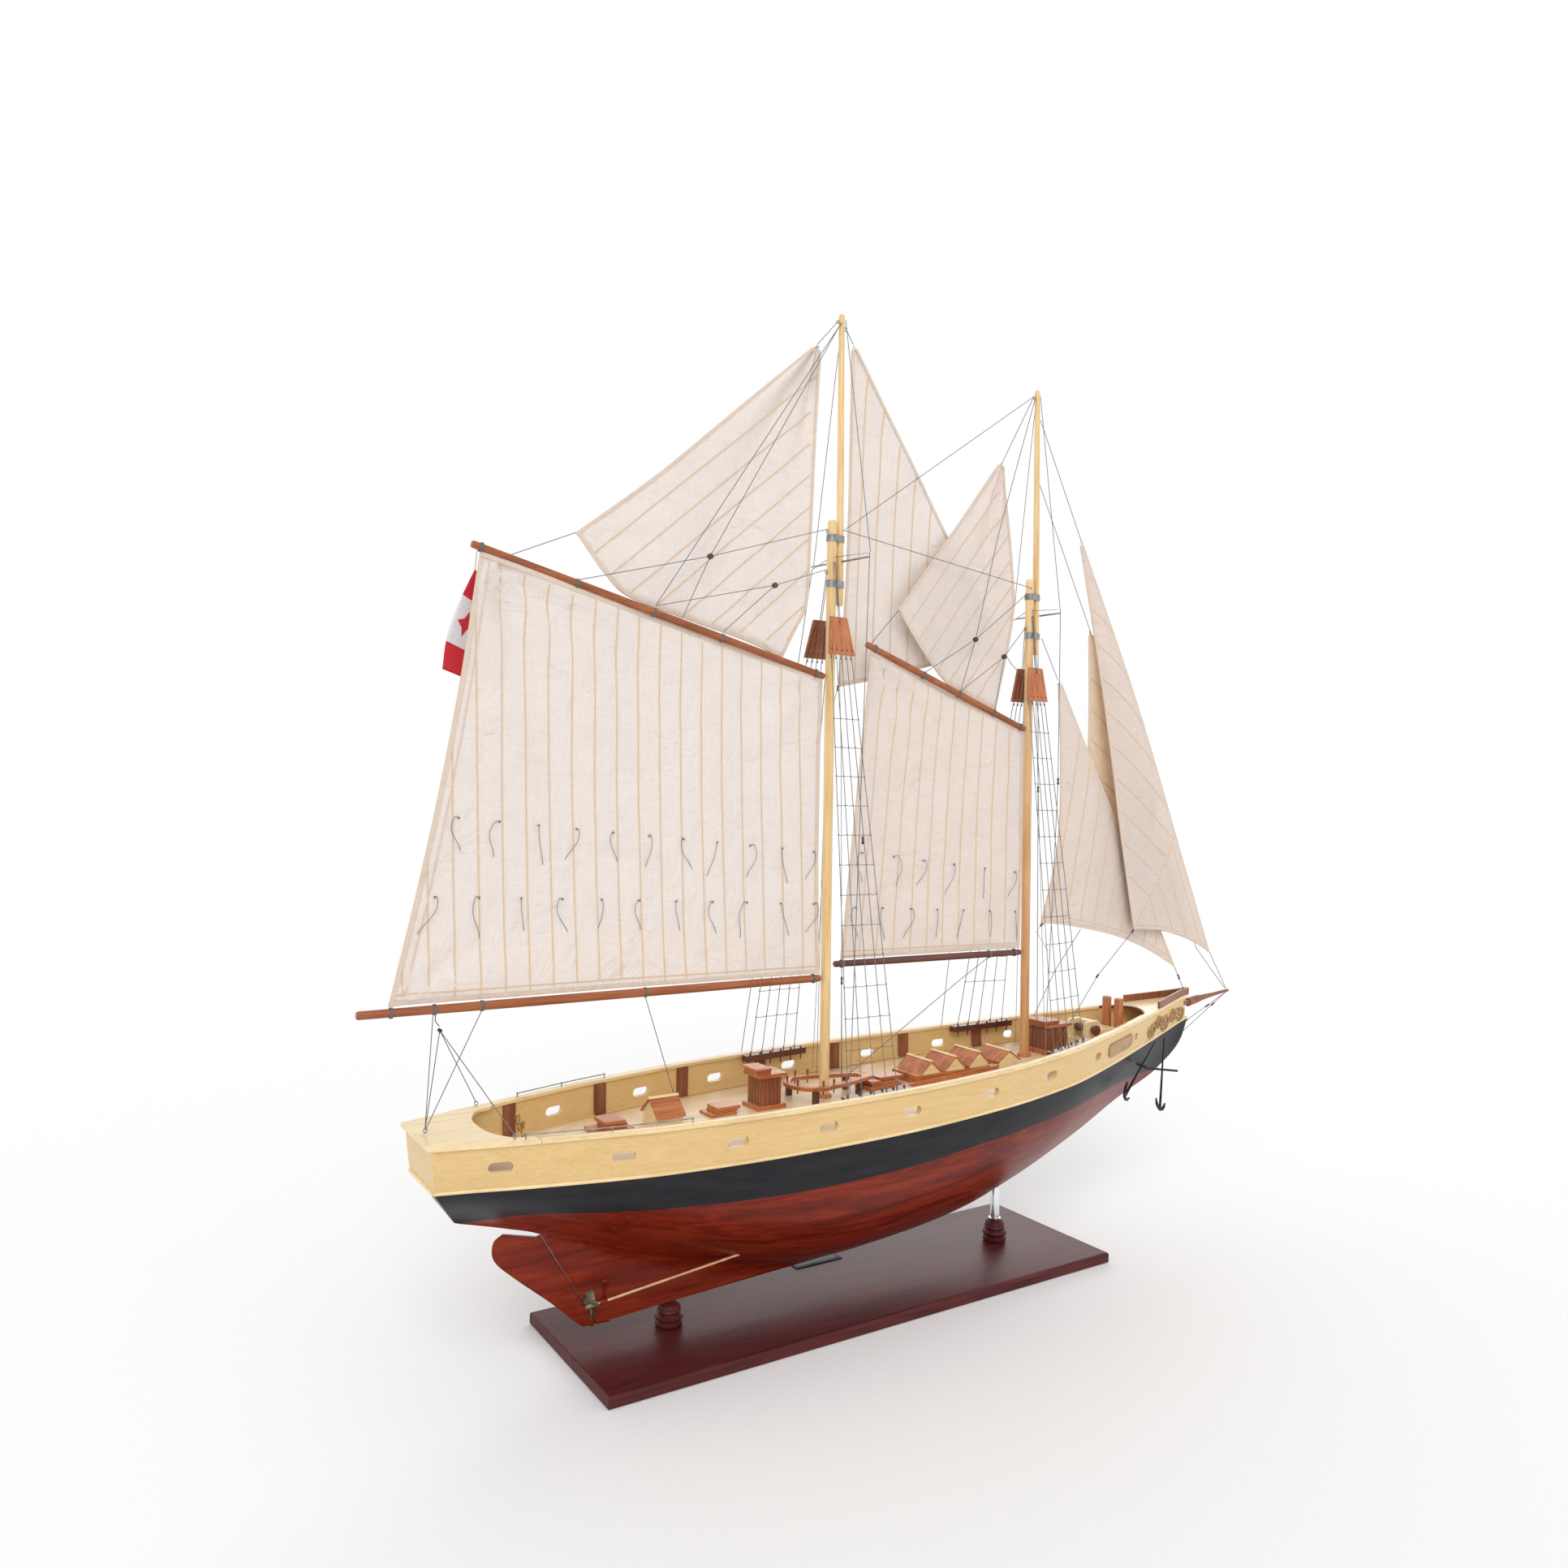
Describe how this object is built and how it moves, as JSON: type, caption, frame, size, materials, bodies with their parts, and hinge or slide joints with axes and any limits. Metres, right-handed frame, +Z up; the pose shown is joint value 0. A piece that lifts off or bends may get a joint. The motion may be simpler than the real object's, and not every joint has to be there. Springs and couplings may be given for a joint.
{
  "type": "model sailing ship",
  "caption": "Display model of a gaff-rigged schooner with all plain sail set, on a rectangular base with posts; spars, rudder, propellers, wheel, windlass and anchors move.",
  "frame": {"origin": "centre of the base board's underside", "axes": "+X towards the bow, +Y to port, +Z up"},
  "size_m": [0.944, 0.1908, 0.85],
  "materials": {
    "cherry_gloss": "dark cherry under gloss lacquer",
    "polished_rod": "polished",
    "hull_mahogany": "red mahogany under gloss varnish, black wale band",
    "honey_wood": "satin natural wood",
    "pale_wood": "satin pale wood",
    "mahogany": "satin mahogany",
    "dark_mahogany": "satin dark mahogany",
    "pine_spar": "satin yellow pine",
    "antique_bronze": "aged bronze",
    "copper_tube": "copper coloured tube",
    "brass": "satin",
    "gunmetal": "blackened",
    "sailcloth": "woven cotton sailcloth",
    "grey_thread": "waxed grey thread",
    "flag_cloth": "printed cotton"
  },
  "bodies": {
    "ship": {"base_board": "cherry_gloss", "aft_post": "cherry_gloss", "fore_post": "cherry_gloss", "fore_post_rod": "polished_rod", "hull": "hull_mahogany", "deck": "pale_wood", "bulwark_port": "honey_wood", "bulwark_starboard": "honey_wood", "transom": "honey_wood", "cap_rail_port": "pale_wood", "cap_rail_starboard": "pale_wood", "stern_platform": "pale_wood", "foredeck_platform": "pale_wood", "shaft_port": "copper_tube", "shaft_starboard": "copper_tube", "bow_rail": "mahogany", "bowsprit": "mahogany", "stern_hatch": "mahogany", "aft_house": "mahogany", "hatch_box": "mahogany", "companionway": "mahogany", "fife_rail": "mahogany", "pinrail_main_port": "dark_mahogany", "pinrail_main_starboard": "dark_mahogany", "pinrail_fore_port": "dark_mahogany", "pinrail_fore_starboard": "dark_mahogany", "mast_hatch": "mahogany", "skylight_bank": "mahogany", "skylight_fore": "mahogany", "fore_cabin": "dark_mahogany", "windlass_bed": "pale_wood", "binnacle": "mahogany", "main_mast": "pine_spar", "main_topmast": "pine_spar", "fore_mast": "pine_spar", "fore_topmast": "pine_spar", "main_staysail": "sailcloth", "fore_staysail": "sailcloth", "middle_jib": "sailcloth", "flying_jib": "sailcloth", "main_shrouds_port": "grey_thread", "main_shrouds_starboard": "grey_thread", "fore_shrouds_port": "grey_thread", "fore_shrouds_starboard": "grey_thread"},
    "main_spars": {"main_boom": "mahogany", "main_gaff": "mahogany", "mainsail": "sailcloth", "main_topsail": "sailcloth", "flag": "flag_cloth"},
    "fore_spars": {"fore_boom": "mahogany", "fore_gaff": "mahogany", "foresail": "sailcloth", "fore_topsail": "sailcloth"},
    "rudder_blade": {"rudder": "hull_mahogany"},
    "port_screw": {"propeller_port": "antique_bronze"},
    "starboard_screw": {"propeller_starboard": "antique_bronze"},
    "wheel": {"steering_wheel": "brass"},
    "windlass_barrel": {"windlass_drum": "dark_mahogany"},
    "fore_anchor": {"anchor_fore": "gunmetal"},
    "aft_anchor": {"anchor_aft": "gunmetal"}
  },
  "joints": [
    {"name": "main_swing", "type": "hinge", "parent": "ship", "child": "main_spars", "pos_m": [-0.02282, 0, 0.274], "axis": [-0.008, 0, 1], "range_deg": [-6, 6]},
    {"name": "fore_swing", "type": "hinge", "parent": "ship", "child": "fore_spars", "pos_m": [0.21513, 0, 0.283], "axis": [-0.0086, 0, 1], "range_deg": [-1, 2.5]},
    {"name": "rudder_turn", "type": "hinge", "parent": "ship", "child": "rudder_blade", "pos_m": [-0.279, 0, 0.0995], "axis": [-0.5212, 0, 0.8535], "range_deg": [-35, 35]},
    {"name": "port_screw_spin", "type": "hinge", "parent": "ship", "child": "port_screw", "pos_m": [-0.24558, 0.02649, 0.05193], "axis": [0.9947, 0.0032, 0.1026], "continuous": true},
    {"name": "starboard_screw_spin", "type": "hinge", "parent": "ship", "child": "starboard_screw", "pos_m": [-0.24558, -0.02649, 0.05193], "axis": [0.9947, -0.0032, 0.1026], "continuous": true},
    {"name": "wheel_spin", "type": "hinge", "parent": "ship", "child": "wheel", "pos_m": [-0.2955, 0, 0.186], "axis": [1, 0, 0], "continuous": true},
    {"name": "windlass_spin", "type": "hinge", "parent": "ship", "child": "windlass_barrel", "pos_m": [0.298, 0, 0.20182], "axis": [0, 1, 0], "continuous": true},
    {"name": "fore_anchor_swing", "type": "hinge", "parent": "ship", "child": "fore_anchor", "pos_m": [0.397, -0.0215, 0.186], "axis": [1, 0, 0], "range_deg": [-20, 0.5]},
    {"name": "aft_anchor_swing", "type": "hinge", "parent": "ship", "child": "aft_anchor", "pos_m": [0.371, -0.031, 0.186], "axis": [1, 0, 0], "range_deg": [-20, 0.5]}
  ]
}
